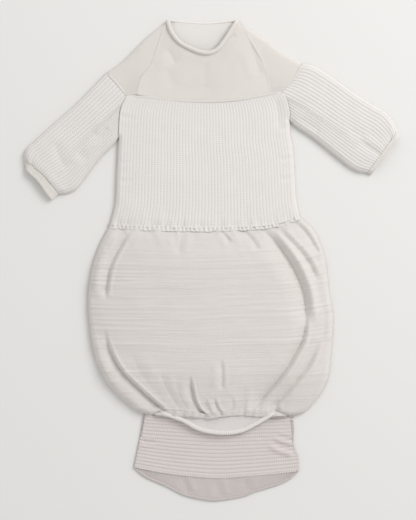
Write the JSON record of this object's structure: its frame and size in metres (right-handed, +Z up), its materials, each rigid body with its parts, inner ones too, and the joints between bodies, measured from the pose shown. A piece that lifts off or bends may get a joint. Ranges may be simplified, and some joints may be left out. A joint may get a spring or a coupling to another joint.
{
  "type": "baby sleeping bag",
  "caption": "Knitted infant sleeping gown with rolled neck, ribbed bodice and sleeves, a gathered balloon bag and a foot flap that folds over the hem.",
  "frame": {"origin": "centre of the footprint, on the surface that the gown lies on", "axes": "+Y from the foot flap to the neck, +X to the right seen from above, +Z up from the surface to the front of the gown"},
  "size_m": [0.4889, 0.6278, 0.0261],
  "materials": {
    "plain_knit": "fine plain machine knit, cream white, matt",
    "rib_knit": "one-by-one rib knit, white, matt",
    "slub_knit": "plain knit with uneven horizontal slub lines, cream white, matt",
    "flap_rib_knit": "horizontal rib knit, pinkish grey white, matt",
    "flap_plain_knit": "fine plain knit, pinkish grey white, matt",
    "seam_thread": "linked and overlocked seam courses in cream thread, matt"
  },
  "bodies": {
    "gown": {"back_bag": "slub_knit", "back_bodice": "rib_knit", "back_neck_roll": "plain_knit", "back_waist_gather": "seam_thread", "back_yoke": "plain_knit", "back_yoke_seam": "seam_thread", "flap_join": "seam_thread", "flap_root": "flap_rib_knit", "front_bag": "slub_knit", "front_bodice": "rib_knit", "front_hem_band": "plain_knit", "front_neck_roll": "plain_knit", "front_waist_gather": "seam_thread", "front_yoke": "plain_knit", "front_yoke_seam": "seam_thread", "hem_gather": "seam_thread", "hem_roll": "plain_knit", "left_armhole_seam": "seam_thread", "left_back_raglan_seam": "seam_thread", "left_bag_seam": "seam_thread", "left_front_raglan_seam": "seam_thread", "left_shoulder_cap": "plain_knit", "left_side_seam": "seam_thread", "left_sleeve_head": "rib_knit", "right_armhole_seam": "seam_thread", "right_back_raglan_seam": "seam_thread", "right_bag_seam": "seam_thread", "right_front_raglan_seam": "seam_thread", "right_shoulder_cap": "plain_knit", "right_side_seam": "seam_thread", "right_sleeve_head": "rib_knit"},
    "left_sleeve": {"left_cuff": "plain_knit", "left_sleeve": "rib_knit", "left_underarm_seam": "seam_thread"},
    "right_sleeve": {"right_cuff": "plain_knit", "right_sleeve": "rib_knit", "right_underarm_seam": "seam_thread"},
    "foot_flap": {"flap_edge": "flap_plain_knit", "flap_end": "flap_plain_knit", "flap_rib": "flap_rib_knit", "flap_stitch_row": "seam_thread"}
  },
  "joints": [
    {"name": "left_sleeve_fold", "type": "hinge", "parent": "gown", "child": "left_sleeve", "pos_m": [-0.129, 0.2005, 0.016], "axis": [-0.185, 0.9827, 0], "range_deg": [0, 172]},
    {"name": "right_sleeve_fold", "type": "hinge", "parent": "gown", "child": "right_sleeve", "pos_m": [0.11, 0.2175, 0.016], "axis": [-0.2086, -0.978, 0], "range_deg": [0, 158]},
    {"name": "foot_flap_fold", "type": "hinge", "parent": "gown", "child": "foot_flap", "pos_m": [0.007, -0.232, 0.0134], "axis": [-1, 0, 0], "range_deg": [0, 172]}
  ]
}
